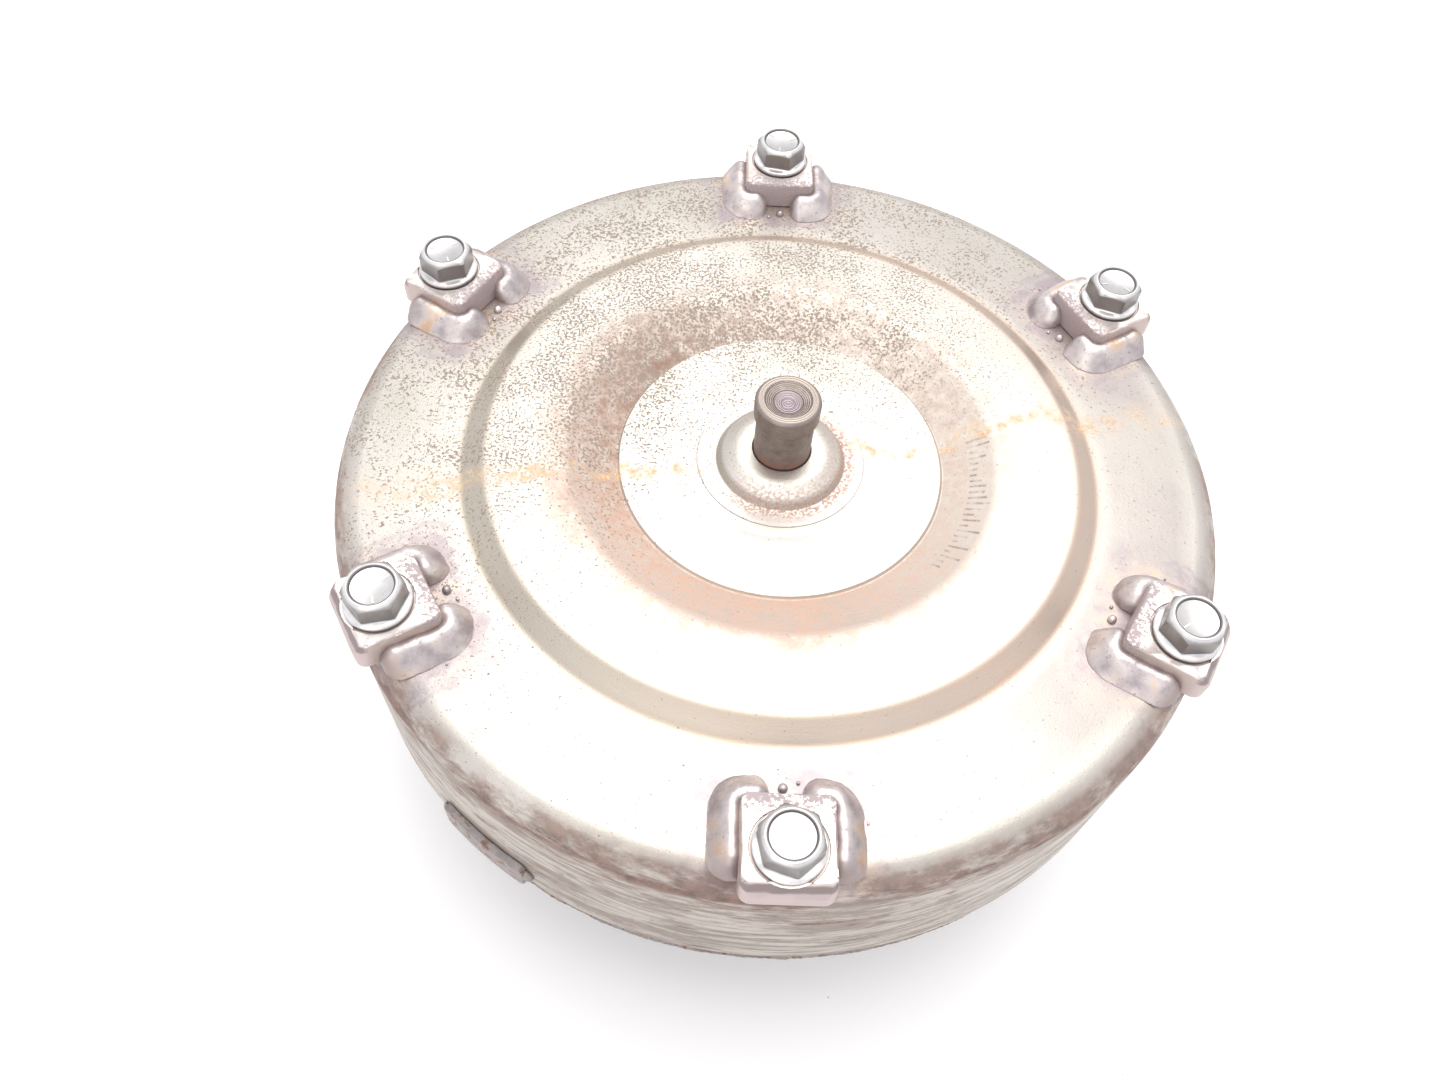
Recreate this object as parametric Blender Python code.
"""Automotive torque converter, standing on its pump drive hub with the engine side up.

All sizes below are in millimetres. The origin is on the axis at the end of the hub, +Z runs along the
axis towards the engine, and the first mounting lug is on the -Y side.
"""

import math

import bmesh
import bpy
from mathutils import Matrix, Vector

MM = 0.001
GAP = 0.3

# Driving dimensions
BOLT_CIRCLE_R = 117.5
LUG_COUNT = 6
COVER_R = 125.7
COVER_WALL = 5.5
ANNULUS_Z = 125.3
LUG_TOP_Z = 134.0
BOLT_TOP_Z = 142.0
SKIRT_END_Z = 70.0
HUB_R = 22.0
HUB_BORE_R = 19.0
HUB_FLOOR_Z = 46.0
TORUS_R = 79.0
TORUS_Z = 70.0
SHELL_ANGLES = (10, 30, 50, 70, 90, 110, 130)
BLADE_ANGLES = (10, 50, 90, 130)
STATOR_HALF_WIDTH = 12.0
JOURNAL_R = 24.0
SPRING_COUNT = 6
SPRING_R = 70.0
SPRING_Z = 104.5


# ---------------------------------------------------------------- outlines, as (radius, height) points
def torus_line(half_width, half_height, plane_z, side, angles):
    """Points on one half of the torus section. side is -1 below the plane and 1 above it."""
    points = []
    for angle in map(math.radians, angles):
        points.append((TORUS_R + half_width * math.cos(angle), plane_z + side * half_height * math.sin(angle)))
    return points


def sheet(surface, wall):
    """The closed outline of sheet metal: its surface line and another line a wall's thickness to the right."""
    steps = [Vector(b) - Vector(a) for a, b in zip(surface, surface[1:])]
    normals = [Vector((step.y, -step.x)).normalized() for step in steps]
    other = []
    for i, point in enumerate(surface):
        before = normals[max(i - 1, 0)]
        after = normals[min(i, len(normals) - 1)]
        mitre = (before + after).normalized()
        other.append(tuple(Vector(point) + mitre * (wall / mitre.dot(after))))
    return surface + other[::-1]


def ring(inner, outer, bottom, top):
    return [(inner, bottom), (outer, bottom), (outer, top), (inner, top)]


def turns(count, start=0.0):
    """Angles in radians of pieces spaced evenly round the axis, from start in degrees."""
    return [math.radians(start) + 2 * math.pi * k / count for k in range(count)]


def at(radius, angle, z):
    return Vector((radius * math.cos(angle), radius * math.sin(angle), z)) * MM


# ---------------------------------------------------------------- making objects
def clear_scene():
    for obj in list(bpy.data.objects):
        bpy.data.objects.remove(obj, do_unlink=True)


def material(name, colour, roughness, metallic):
    made = bpy.data.materials.new(name)
    made.use_nodes = True
    shader = made.node_tree.nodes["Principled BSDF"]
    shader.inputs["Base Color"].default_value = (*colour, 1.0)
    shader.inputs["Roughness"].default_value = roughness
    shader.inputs["Metallic"].default_value = metallic
    made.diffuse_color = (*colour, 1.0)
    return made


def link_object(name, mesh):
    obj = bpy.data.objects.new(name, mesh)
    bpy.context.scene.collection.objects.link(obj)
    return obj


def add_object(name, bm, finish, smooth=True):
    """Closes the bmesh into a named object with its faces pointing out."""
    bmesh.ops.remove_doubles(bm, verts=bm.verts, dist=0.001 * MM)
    bmesh.ops.recalc_face_normals(bm, faces=bm.faces)
    mesh = bpy.data.meshes.new(name)
    bm.to_mesh(mesh)
    bm.free()
    mesh.materials.append(finish)
    if smooth:
        mesh.shade_smooth()
        mesh.set_sharp_from_angle(angle=math.radians(35))
    return link_object(name, mesh)


def copies(first, count):
    """The first object and its copies, named by the number that ends the first one's name."""
    made = [first]
    for number in range(2, count + 1):
        made.append(link_object(first.name[:-1] + str(number), first.data))
    return made


def helper(name, bm):
    """A hidden object that only cuts or joins other objects."""
    obj = add_object(name, bm, steel, smooth=False)
    obj.hide_render = True
    obj.display_type = "WIRE"
    return obj


def use_boolean(obj, other, operation):
    modifier = obj.modifiers.new(other.name, "BOOLEAN")
    modifier.object = other
    modifier.operation = operation
    modifier.solver = "EXACT"


def join_rows(bm, rows, closed_ends):
    """Faces between rows of vertices, each row a closed loop, with end faces where they are wanted."""
    for one, two in zip(rows, rows[1:]):
        for k in range(len(one)):
            after = (k + 1) % len(one)
            bm.faces.new((one[k], one[after], two[after], two[k]))
    if closed_ends:
        bm.faces.new(rows[0])
        bm.faces.new(rows[-1])


def turned_bmesh(outline, steps, closed=True):
    """Spins an outline about Z. An outline that starts and ends on the axis is left open."""
    bm = bmesh.new()
    verts = [bm.verts.new((r * MM, 0.0, z * MM)) for r, z in outline]
    pairs = list(zip(verts, verts[1:]))
    if closed:
        pairs.append((verts[-1], verts[0]))
    edges = [bm.edges.new(pair) for pair in pairs]
    bmesh.ops.spin(
        bm, geom=verts + edges, cent=(0, 0, 0), axis=(0, 0, 1), angle=2 * math.pi, steps=steps, use_merge=True
    )
    return bm


def turned(name, outline, finish, steps=36, closed=True):
    return add_object(name, turned_bmesh(outline, steps, closed), finish)


def add_box(bm, centre, size, angle=0.0):
    """A box in a bmesh, in millimetres, then turned about Z by an angle in radians."""
    made = bmesh.ops.create_cube(bm, size=1.0)["verts"]
    bmesh.ops.scale(bm, vec=[s * MM for s in size], verts=made)
    bmesh.ops.translate(bm, vec=[c * MM for c in centre], verts=made)
    bmesh.ops.rotate(bm, cent=(0, 0, 0), matrix=Matrix.Rotation(angle, 3, "Z"), verts=made)
    return made


def add_cylinder(bm, radius, bottom, top, sides):
    made = bmesh.ops.create_cone(
        bm, cap_ends=True, segments=sides, radius1=radius * MM, radius2=radius * MM, depth=(top - bottom) * MM
    )["verts"]
    bmesh.ops.translate(bm, vec=(0, 0, (top + bottom) / 2 * MM), verts=made)
    return made


# ---------------------------------------------------------------- front cover and pilot
def front_cover():
    """Deep-drawn steel cover: pilot dome, centre disc, dished cone, raised plateau, lug annulus and skirt."""
    outside = [
        (8.4, 128.0),
        (13.0, 127.7),
        (17.0, 125.4),
        (18.4, 123.1),
        (45.6, 123.1),
        (46.6, 122.0),
        (60.0, 128.6),
        (64.0, 129.6),
        (82.5, 129.6),
        (89.4, ANNULUS_Z + 0.6),
        (91.5, ANNULUS_Z),
        (COVER_R - 9.0, ANNULUS_Z),
        (COVER_R - 3.6, ANNULUS_Z - 2.2),
        (COVER_R - 0.6, ANNULUS_Z - 6.3),
        (COVER_R, SKIRT_END_Z),
    ]
    inside_r = COVER_R - COVER_WALL
    inside = [
        (inside_r, SKIRT_END_Z),
        (inside_r, ANNULUS_Z - 9.5),
        (inside_r - 4.0, ANNULUS_Z - COVER_WALL),
        (91.0, ANNULUS_Z - COVER_WALL),
        (82.0, 124.0),
        (64.0, 124.0),
        (47.0, 117.6),
        (8.4, 117.6),
    ]
    return turned("front_cover", outside + inside, steel)


def crank_pilot():
    """Turned pilot with a collar at its free end and a lathe centre in its face."""
    neck, collar, top = 8.1, 9.1, 149.0
    outline = [
        (0.0, 118.5),
        (neck, 118.5),
        (neck, 142.6),
        (collar, 143.4),
        (collar, top - 0.8),
        (collar - 0.8, top),
        (6.5, top),
        (5.9, top - 1.2),
        (0.0, top - 1.8),
    ]
    return turned("crank_pilot", outline, machined, steps=24, closed=False)


# ---------------------------------------------------------------- lugs, their welds and bolts
LUG_BOTTOM_Z = ANNULUS_Z + GAP
HOLE_R = 5.3
SPOT_FACE_R = 9.2
SPOT_FACE_DEPTH = 0.55
FLANGE_BOTTOM_Z = LUG_TOP_Z - 0.25


def lug_mesh():
    """A forged block on the bolt's axis, X across and +Y outwards, wider at its foot than at its top."""
    bm = bmesh.new()
    block = add_box(bm, (0, 0, (LUG_TOP_Z + LUG_BOTTOM_Z) / 2), (2, 2, LUG_TOP_Z - LUG_BOTTOM_Z))
    for vert in block:
        at_top = vert.co.z > (LUG_TOP_Z - 1) * MM
        outer, inner = (8.2, -12.6) if at_top else (10.5, -12.9)
        half_width = 10.7 if at_top else 11.3
        vert.co.x = math.copysign(half_width, vert.co.x) * MM
        vert.co.y = (outer if vert.co.y > 0 else inner) * MM
    upright = [e for e in bm.edges if abs(e.verts[0].co.z - e.verts[1].co.z) > 5 * MM]
    bmesh.ops.bevel(bm, geom=upright, offset=2.6 * MM, segments=2, profile=0.5, affect="EDGES")
    rim = [e for e in bm.edges if all(v.co.z > (LUG_TOP_Z - 0.1) * MM for v in e.verts)]
    bmesh.ops.bevel(bm, geom=rim, offset=0.7 * MM, segments=1, profile=0.5, affect="EDGES")
    return bm


def weld_mesh():
    """The fillet weld round a lug's sides and inner corners, lowest across the middle of the inner side."""
    side_x, inner_y, corner, half_width, height = 15.2, -16.8, 5.0, 3.5, 5.0
    left = [(-side_x, 4.5, 0.35), (-side_x, 2.0, 0.95)]
    for angle in map(math.radians, (180, 225, 270)):
        x = -side_x + corner + corner * math.cos(angle)
        left.append((x, inner_y + corner + corner * math.sin(angle), 1.0))
    left.append((-4.5, inner_y, 0.35))
    path = left + [(-x, y, size) for x, y, size in left[::-1]]
    bm = bmesh.new()
    rows = []
    for i, (x, y, size) in enumerate(path):
        before, after = path[max(i - 1, 0)], path[min(i + 1, len(path) - 1)]
        across = Vector((after[1] - before[1], before[0] - after[0], 0)).normalized()
        row = []
        for angle in map(math.radians, (0, 45, 90, 135, 180)):
            out = across * (half_width * size * math.cos(angle))
            up = height * size * math.sin(angle)
            row.append(bm.verts.new((Vector((x, y, LUG_BOTTOM_Z + up)) + out) * MM))
        rows.append(row)
    join_rows(bm, rows, closed_ends=True)
    return bm


def bolt_mesh():
    """Flange bolt with an M10 shank, a hexagon 14 mm across its flats and a round chamfer on top."""
    half_flats, flange_r, shank_r, around = 7.0, 8.7, 4.9, 18
    angles = turns(around, start=10)
    round_one = [1.0] * around
    hexagon = [1.0 / math.cos((a + math.pi / 6) % (math.pi / 3) - math.pi / 6) for a in angles]
    sections = [
        (BOLT_TOP_Z, half_flats - 0.5, round_one),
        (BOLT_TOP_Z - 0.9, half_flats, hexagon),
        (FLANGE_BOTTOM_Z + 2.0, half_flats, hexagon),
        (FLANGE_BOTTOM_Z + 1.3, flange_r, round_one),
        (FLANGE_BOTTOM_Z, flange_r, round_one),
        (FLANGE_BOTTOM_Z, shank_r, round_one),
        (ANNULUS_Z + 0.8, shank_r, round_one),
    ]
    bm = bmesh.new()
    rows = []
    for z, radius, shape in sections:
        rows.append([bm.verts.new(at(radius * factor, a, z)) for a, factor in zip(angles, shape)])
    join_rows(bm, rows, closed_ends=True)
    return bm


def lugs():
    """One empty on each bolt axis, its +Y pointing outwards, carries a lug, its weld and its bolt."""
    hole = bmesh.new()
    add_cylinder(hole, HOLE_R, LUG_BOTTOM_Z - 5, LUG_TOP_Z + 5, 16)
    spot_face = bmesh.new()
    add_cylinder(spot_face, SPOT_FACE_R, LUG_TOP_Z - SPOT_FACE_DEPTH, LUG_TOP_Z + 5, 16)
    sets = [
        copies(add_object("mounting_lug_1", lug_mesh(), forged), LUG_COUNT),
        copies(helper("lug_hole_cutter_1", hole), LUG_COUNT),
        copies(helper("spot_face_cutter_1", spot_face), LUG_COUNT),
        copies(add_object("lug_weld_1", weld_mesh(), weld_steel), LUG_COUNT),
        copies(add_object("flexplate_bolt_1", bolt_mesh(), zinc), LUG_COUNT),
    ]
    for number, angle in enumerate(turns(LUG_COUNT, start=-90), 1):
        station = link_object(f"lug_station_{number}", None)
        station.location = at(BOLT_CIRCLE_R, angle, 0)
        station.rotation_euler = (0, 0, angle - math.pi / 2)
        lug, *cutters = [pieces[number - 1] for pieces in sets[:3]]
        for pieces in sets:
            pieces[number - 1].parent = station
        for cutter in cutters:
            cutter.hide_render = True
            cutter.display_type = "WIRE"
            use_boolean(lug, cutter, "DIFFERENCE")


# ---------------------------------------------------------------- impeller side of the housing
RIM_R = COVER_R - COVER_WALL - GAP
IMPELLER_WALL = 4.0
IMPELLER_HALF_WIDTH = RIM_R - TORUS_R
IMPELLER_HALF_HEIGHT = 30.0


def impeller_shell():
    """Half torus that closes the cover, with a rim nested in its skirt and a flat floor for the hub."""
    inner_width = IMPELLER_HALF_WIDTH - IMPELLER_WALL
    inner_height = IMPELLER_HALF_HEIGHT - IMPELLER_WALL
    outside = torus_line(IMPELLER_HALF_WIDTH, IMPELLER_HALF_HEIGHT, TORUS_Z, -1, SHELL_ANGLES[:-1])
    inside = torus_line(inner_width, inner_height, TORUS_Z, -1, BLADE_ANGLES)
    outline = (
        [(RIM_R, 84.0)]
        + outside
        + [(54.0, HUB_FLOOR_Z), (HUB_R + 0.4, HUB_FLOOR_Z), (HUB_R + 0.4, HUB_FLOOR_Z + IMPELLER_WALL)]
        + [(50.0, HUB_FLOOR_Z + IMPELLER_WALL)]
        + inside[::-1]
        + [(RIM_R - IMPELLER_WALL, 84.0)]
    )
    return turned("impeller_shell", outline, steel)


def seam_weld():
    """The closing weld between the cover's skirt and the impeller shell, all the way round."""
    top = SKIRT_END_Z - GAP
    outline = [(120.4, top), (119.9, 63.0), (123.6, 65.0), (125.3, 68.4), (125.3, top)]
    return turned("seam_weld", outline, weld_steel)


def pump_drive_hub():
    """Tube that drives the oil pump: a flange under the impeller shell and a slot across its end."""
    outline = [
        (HUB_BORE_R, 0.0),
        (HUB_R - 0.8, 0.0),
        (HUB_R, 0.8),
        (HUB_R, 40.5),
        (34.0, 41.5),
        (34.0, HUB_FLOOR_Z - GAP),
        (HUB_R, HUB_FLOOR_Z - GAP),
        (HUB_R, 50.0),
        (HUB_BORE_R, 50.0),
    ]
    hub = turned("pump_drive_hub", outline, machined, steps=28)
    slots = bmesh.new()
    add_box(slots, (0, 0, 0), (60, 8, 14))
    use_boolean(hub, helper("hub_slot_cutter", slots), "DIFFERENCE")
    return hub


def hub_weld():
    outline = [(34.4, 42.3), (36.9, 43.6), (37.8, HUB_FLOOR_Z - GAP), (34.4, HUB_FLOOR_Z - GAP)]
    return turned("hub_weld", outline, weld_steel, steps=24)


def balance_weight():
    """Curved steel plate spot-welded low on the cover's skirt."""
    inner, outer, bottom, top = COVER_R + GAP, COVER_R + GAP + 2.0, 71.5, 82.5
    steps, start, spread = 3, math.radians(-134), math.radians(13)
    bm = bmesh.new()
    rows = []
    for k in range(steps + 1):
        angle = start + spread * k / steps
        rows.append([bm.verts.new(at(r, angle, z)) for r, z in ring(inner, outer, bottom, top)])
    join_rows(bm, rows, closed_ends=True)
    return add_object("balance_weight", bm, forged)


# ---------------------------------------------------------------- bladed rings
CORE_HALF_WIDTH, CORE_HALF_HEIGHT, CORE_WALL = 17.0, 11.0, 1.5
BLADE_WALL = 1.3


def bladed_ring(name, count, core_line, tip_line, side, swept):
    """A sheet metal core ring whose outer strips are drawn out to the tip line to form the blades."""
    outline = sheet(core_line, -side * CORE_WALL)
    last = len(core_line) - 1
    bm = bmesh.new()
    columns = []
    for base in turns(count):
        for edge in (-1, 1):
            column = []
            for i, (r, z) in enumerate(outline):
                along = i if i <= last else 2 * last + 1 - i
                angle = base + swept(along / last) + edge * BLADE_WALL / 2 / r
                column.append(bm.verts.new(at(r, angle, z)))
            columns.append(column)
    join_rows(bm, columns + columns[:1], closed_ends=False)
    bm.verts.index_update()
    for number, base in enumerate(turns(count)):
        left, right = columns[2 * number], columns[2 * number + 1]
        strip = []
        for i in range(last):
            strip.append(bm.faces.get((left[i], left[i + 1], right[i + 1], right[i])))
        place = {left[i].co.copy().freeze(): (i, -1) for i in range(last + 1)}
        place.update({right[i].co.copy().freeze(): (i, 1) for i in range(last + 1)})
        drawn = bmesh.ops.extrude_face_region(bm, geom=strip)["geom"]
        bmesh.ops.delete(bm, geom=strip, context="FACES_ONLY")
        for vert in drawn:
            if isinstance(vert, bmesh.types.BMVert):
                i, edge = place[vert.co.copy().freeze()]
                r, z = tip_line[i]
                vert.co = at(r, base + swept(i / last) + edge * BLADE_WALL / 2 / r, z)
    return add_object(name, bm, steel)


def impeller_blade_ring():
    plane = TORUS_Z - 0.6
    reach = IMPELLER_WALL + 0.6
    core = torus_line(CORE_HALF_WIDTH, CORE_HALF_HEIGHT, plane, -1, BLADE_ANGLES)
    tip = torus_line(IMPELLER_HALF_WIDTH - reach, IMPELLER_HALF_HEIGHT - reach, TORUS_Z, -1, BLADE_ANGLES)
    return bladed_ring("impeller_blade_ring", 23, core, tip, -1, lambda along: 0.16 * along)


TURBINE_Z = TORUS_Z + 1.0
TURBINE_WALL = 2.0
TURBINE_HALF_WIDTH, TURBINE_HALF_HEIGHT = 35.3, 26.0
TURBINE_FLOOR_Z = 90.7


def turbine_shell():
    inner_width = TURBINE_HALF_WIDTH - TURBINE_WALL
    inner_height = TURBINE_HALF_HEIGHT - TURBINE_WALL
    outside = torus_line(TURBINE_HALF_WIDTH, TURBINE_HALF_HEIGHT, TURBINE_Z, 1, SHELL_ANGLES[:-1])
    inside = torus_line(inner_width, inner_height, TURBINE_Z, 1, BLADE_ANGLES)
    floor = [(54.0, TURBINE_FLOOR_Z), (34.0, TURBINE_FLOOR_Z), (34.0, TURBINE_FLOOR_Z - TURBINE_WALL)]
    shell = turned("turbine_shell", outside + floor + inside[::-1], steel, steps=30)
    cut_rivet_holes(shell)
    return shell


def turbine_blade_ring():
    plane = TURBINE_Z + 0.6
    reach = TURBINE_WALL + 0.6
    core = torus_line(CORE_HALF_WIDTH, CORE_HALF_HEIGHT, plane, 1, BLADE_ANGLES)
    tip = torus_line(TURBINE_HALF_WIDTH - reach, TURBINE_HALF_HEIGHT - reach, TURBINE_Z, 1, BLADE_ANGLES)

    def swept(along):
        return 0.1 * along - 0.26 * math.sin(math.pi * along)

    return bladed_ring("turbine_blade_ring", 21, core, tip, 1, swept)


# ---------------------------------------------------------------- turbine hub and its rivets
RIVET_CIRCLE_R, RIVET_R, RIVET_HOLE_R, RIVET_COUNT = 40.0, 2.6, 3.1, 6
SEAL_GROOVE_R, SEAL_BOTTOM_Z, SEAL_TOP_Z = 21.6, 104.8, 108.2


def cut_spline(piece, bore, tooth, teeth, bottom, top):
    """Cuts a splined bore along the axis of a piece."""
    loop = []
    for angle in turns(teeth):
        for share, radius in ((-0.32, bore), (-0.14, bore + tooth), (0.14, bore + tooth), (0.32, bore)):
            loop.append((angle + share * 2 * math.pi / teeth, radius))
    bm = bmesh.new()
    rows = [[bm.verts.new(at(radius, angle, z)) for angle, radius in loop] for z in (bottom, top)]
    join_rows(bm, rows, closed_ends=True)
    use_boolean(piece, helper(piece.name + "_spline_cutter", bm), "DIFFERENCE")


def cut_rivet_holes(piece):
    bm = bmesh.new()
    for angle in turns(RIVET_COUNT):
        hole = add_cylinder(bm, RIVET_HOLE_R, 82.0, 106.0, 6)
        bmesh.ops.translate(bm, vec=at(RIVET_CIRCLE_R, angle, 0), verts=hole)
    use_boolean(piece, helper(piece.name + "_rivet_hole_cutter", bm), "DIFFERENCE")


def turbine_hub():
    """Splined hub with a riveting flange and the journal that the lock-up piston slides on."""
    outline = [
        (8.0, 89.7),
        (33.6, 89.7),
        (33.6, 91.0),
        (46.0, 91.0),
        (46.0, 95.0),
        (JOURNAL_R, 95.0),
        (JOURNAL_R, SEAL_BOTTOM_Z),
        (SEAL_GROOVE_R, SEAL_BOTTOM_Z),
        (SEAL_GROOVE_R, SEAL_TOP_Z),
        (JOURNAL_R, SEAL_TOP_Z),
        (JOURNAL_R, 115.0),
        (8.0, 115.0),
    ]
    hub = turned("turbine_hub", outline, machined, steps=24)
    cut_spline(hub, 11.0, 1.4, 14, 80.0, 120.0)
    cut_rivet_holes(hub)
    return hub


def turbine_rivets():
    """Rivets through the turbine shell, the hub's flange and the driven plate, with a head at each end."""
    head_r = 4.4
    outline = [(0.0, 86.9), (head_r - 1.2, 87.1), (head_r, 88.4), (RIVET_R, 88.4)]
    outline += [(RIVET_R, 98.7), (head_r, 98.7), (head_r - 1.2, 100.0), (0.0, 100.2)]
    rivets = copies(turned("turbine_rivet_1", outline, forged, steps=6, closed=False), RIVET_COUNT)
    for rivet, angle in zip(rivets, turns(RIVET_COUNT)):
        rivet.location = at(RIVET_CIRCLE_R, angle, 0)


def seal_ring():
    outline = ring(SEAL_GROOVE_R + GAP, JOURNAL_R + 0.15, SEAL_BOTTOM_Z + GAP, SEAL_TOP_Z - GAP)
    return turned("piston_seal_ring", outline, seal_plastic, steps=24)


# ---------------------------------------------------------------- lock-up clutch and damper
def cut_spring_windows(piece):
    bm = bmesh.new()
    for angle in turns(SPRING_COUNT, start=30):
        add_box(bm, (SPRING_R, 0, SPRING_Z), (11.6, 36, 12), angle)
    use_boolean(piece, helper(piece.name + "_window_cutter", bm), "DIFFERENCE")


def damper_driven_plate():
    """Dished plate riveted to the turbine hub, with a window for each spring."""
    surface = [(24.5, 98.3), (47.0, 98.3), (53.0, 106.0), (88.0, 106.0)]
    plate = turned("damper_driven_plate", sheet(surface, 3.0), forged, steps=30)
    cut_spring_windows(plate)
    cut_rivet_holes(plate)
    return plate


TAB_REACH_R = 114.2
TAB_WIDTH = 14.0


def damper_input_plate():
    """Flat plate over the driven plate: a window for each spring and six tabs that the piston drives."""
    plate_r, bottom, top = 109.0, 107.2, 109.2
    plate = turned("damper_input_plate", ring(54.0, plate_r, bottom, top), forged, steps=30)
    tabs = bmesh.new()
    start_r = plate_r - 4
    for angle in turns(6):
        centre = ((start_r + TAB_REACH_R) / 2, 0, (bottom + top) / 2)
        add_box(tabs, centre, (TAB_REACH_R - start_r, TAB_WIDTH, top - bottom), angle)
    use_boolean(plate, helper("input_plate_tabs", tabs), "UNION")
    cut_spring_windows(plate)
    return plate


def damper_springs():
    """Coil springs that lie along the damper's circle, one in each pair of windows."""
    coil_r, wire_r, half_length, coils, per_turn = 4.1, 0.85, 15.0, 4, 5
    count = coils * per_turn
    bm = bmesh.new()
    rows = []
    for k in range(count + 1):
        angle = 2 * math.pi * k / per_turn
        outward = Vector((math.cos(angle), 0, math.sin(angle)))
        centre = Vector((SPRING_R, half_length * (2 * k / count - 1), SPRING_Z)) + outward * coil_r
        row = []
        for turn in turns(4):
            offset = outward * math.cos(turn) + Vector((0, 1, 0)) * math.sin(turn)
            row.append(bm.verts.new((centre + offset * wire_r) * MM))
        rows.append(row)
    join_rows(bm, rows, closed_ends=True)
    springs = copies(add_object("damper_spring_1", bm, spring_steel), SPRING_COUNT)
    for spring, angle in zip(springs, turns(SPRING_COUNT, start=30)):
        spring.rotation_euler = (0, 0, angle)


def lockup_piston():
    """Pressed plate that slides on the turbine hub, with six notches in its skirt for the damper's tabs."""
    surface = [
        (JOURNAL_R + 0.35, 102.8),
        (JOURNAL_R + 0.35, 114.3),
        (88.0, 114.3),
        (91.5, 116.4),
        (113.0, 116.4),
        (115.8, 114.0),
        (115.8, 104.8),
    ]
    piston = turned("lockup_piston", sheet(surface, 3.2), steel, steps=30)
    notches = bmesh.new()
    for angle in turns(6):
        add_box(notches, (115, 0, 105), (12, TAB_WIDTH + 1.2, 10), angle)
    use_boolean(piston, helper("piston_notch_cutter", notches), "DIFFERENCE")
    return piston


def friction_facing():
    return turned("lockup_friction_facing", ring(93.0, 113.0, 116.7, 118.2), friction_paper, steps=30)


def thrust_washer():
    return turned("front_thrust_washer", ring(14.0, 22.5, 115.3, 117.2), seal_plastic, steps=24)


# ---------------------------------------------------------------- stator and one-way clutch
def stator_wheel():
    """Cast wheel: hub, thirteen thick raked blades and an outer ring."""
    low, high = TORUS_Z - STATOR_HALF_WIDTH, TORUS_Z + STATOR_HALF_WIDTH
    wheel = turned("stator_wheel", ring(33.1, 43.5, low, high), cast_aluminium, steps=26)
    blades = bmesh.new()
    for angle in turns(13):
        blade = add_box(blades, (0, 0, 0), (19.2, 3.2, 19.0))
        bmesh.ops.rotate(blades, cent=(0, 0, 0), matrix=Matrix.Rotation(math.radians(-28), 3, "X"), verts=blade)
        bmesh.ops.translate(blades, vec=(52.2 * MM, 0, TORUS_Z * MM), verts=blade)
        bmesh.ops.rotate(blades, cent=(0, 0, 0), matrix=Matrix.Rotation(angle, 3, "Z"), verts=blade)
    use_boolean(wheel, helper("stator_blades", blades), "UNION")
    outer = turned_bmesh(ring(60.8, 62.6, TORUS_Z - 10, TORUS_Z + 10), 26)
    use_boolean(wheel, helper("stator_outer_ring", outer), "UNION")
    return wheel


def blocked_ring(name, outline, depth, flat):
    """A ring with blocks standing out of both its faces, or both its sides, on every other division."""
    bm = turned_bmesh(outline, 20)
    bm.faces.ensure_lookup_table()
    bmesh.ops.recalc_face_normals(bm, faces=bm.faces)
    chosen = []
    for face in bm.faces:
        middle = face.calc_center_median()
        division = round(math.atan2(middle.y, middle.x) / (math.pi / 10) - 0.5)
        faces_along_axis = abs(face.normal.z) > 0.5
        if division % 2 == 0 and faces_along_axis == flat:
            chosen.append(face)
    for face in chosen:
        direction = face.normal.copy()
        drawn = bmesh.ops.extrude_face_region(bm, geom=[face])["geom"]
        bmesh.ops.delete(bm, geom=[face], context="FACES_ONLY")
        verts = [item for item in drawn if isinstance(item, bmesh.types.BMVert)]
        bmesh.ops.translate(bm, vec=direction * depth * MM, verts=verts)
    return add_object(name, bm, spring_steel)


def one_way_clutch():
    """Outer race pressed in the stator, splined inner race, and the sprags in their cage between them."""
    turned("one_way_outer_race", ring(27.5, 32.6, 59.0, 81.0), machined, steps=26)
    inner = turned("one_way_inner_race", ring(12.0, 22.2, 58.0, 82.0), machined, steps=24)
    cut_spline(inner, 14.5, 1.4, 16, 50.0, 90.0)
    blocked_ring("sprag_ring", ring(24.3, 25.3, 61.0, 79.0), 1.3, flat=False)


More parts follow.
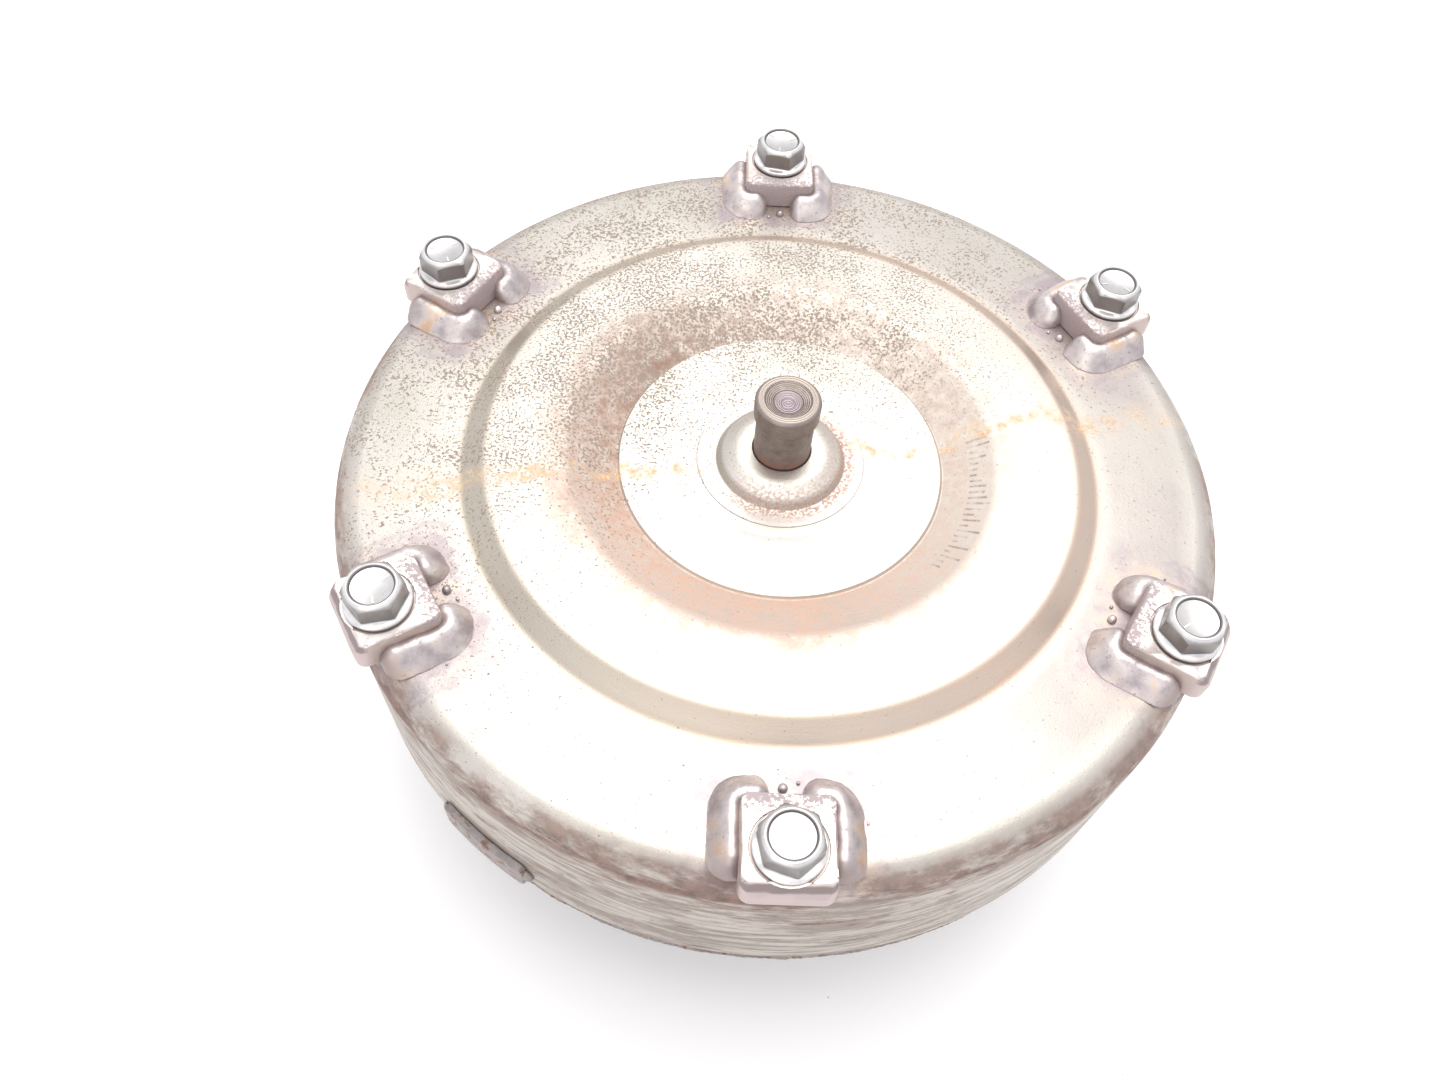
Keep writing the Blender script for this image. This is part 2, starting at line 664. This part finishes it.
def stator_plates():
    """Thrust plates that close the clutch and carry the bearings."""
    low, high = TORUS_Z - STATOR_HALF_WIDTH, TORUS_Z + STATOR_HALF_WIDTH
    turned("stator_rear_plate", ring(23.0, 42.5, low - GAP - 2.5, low - GAP), cast_aluminium, steps=26)
    turned("stator_front_plate", ring(23.0, 42.5, high + GAP, high + GAP + 2.5), cast_aluminium, steps=26)


def needle_bearing(place, bottom, top):
    """Two flat races and a cage of radial needles between them."""
    middle = (bottom + top) / 2
    turned(f"{place}_bearing_lower_race", ring(24.5, 33.0, bottom, bottom + 0.9), machined, steps=20)
    turned(f"{place}_bearing_upper_race", ring(24.5, 33.0, top - 0.9, top), machined, steps=20)
    cage = ring(25.0, 32.5, middle - 0.35, middle + 0.35)
    blocked_ring(f"{place}_bearing_needle_cage", cage, 0.7, flat=True)


# ---------------------------------------------------------------- the assembly
clear_scene()
steel = material("pressed_steel", (0.62, 0.60, 0.57), 0.42, 1.0)
machined = material("machined_steel", (0.58, 0.57, 0.56), 0.30, 1.0)
forged = material("forged_steel", (0.40, 0.37, 0.36), 0.50, 1.0)
weld_steel = material("weld_steel", (0.42, 0.39, 0.39), 0.45, 1.0)
zinc = material("zinc_plate", (0.70, 0.71, 0.72), 0.30, 1.0)
spring_steel = material("spring_steel", (0.35, 0.35, 0.36), 0.35, 1.0)
cast_aluminium = material("cast_aluminium", (0.65, 0.65, 0.66), 0.50, 1.0)
seal_plastic = material("seal_plastic", (0.12, 0.09, 0.07), 0.50, 0.0)
friction_paper = material("friction_paper", (0.22, 0.16, 0.10), 0.90, 0.0)

front_cover()
crank_pilot()
lugs()
impeller_shell()
seam_weld()
pump_drive_hub()
hub_weld()
balance_weight()
impeller_blade_ring()
turbine_shell()
turbine_blade_ring()
turbine_hub()
turbine_rivets()
seal_ring()
damper_driven_plate()
damper_input_plate()
damper_springs()
lockup_piston()
friction_facing()
thrust_washer()
stator_wheel()
one_way_clutch()
stator_plates()
needle_bearing("rear", 50.3, 54.9)
needle_bearing("front", 85.1, 89.4)
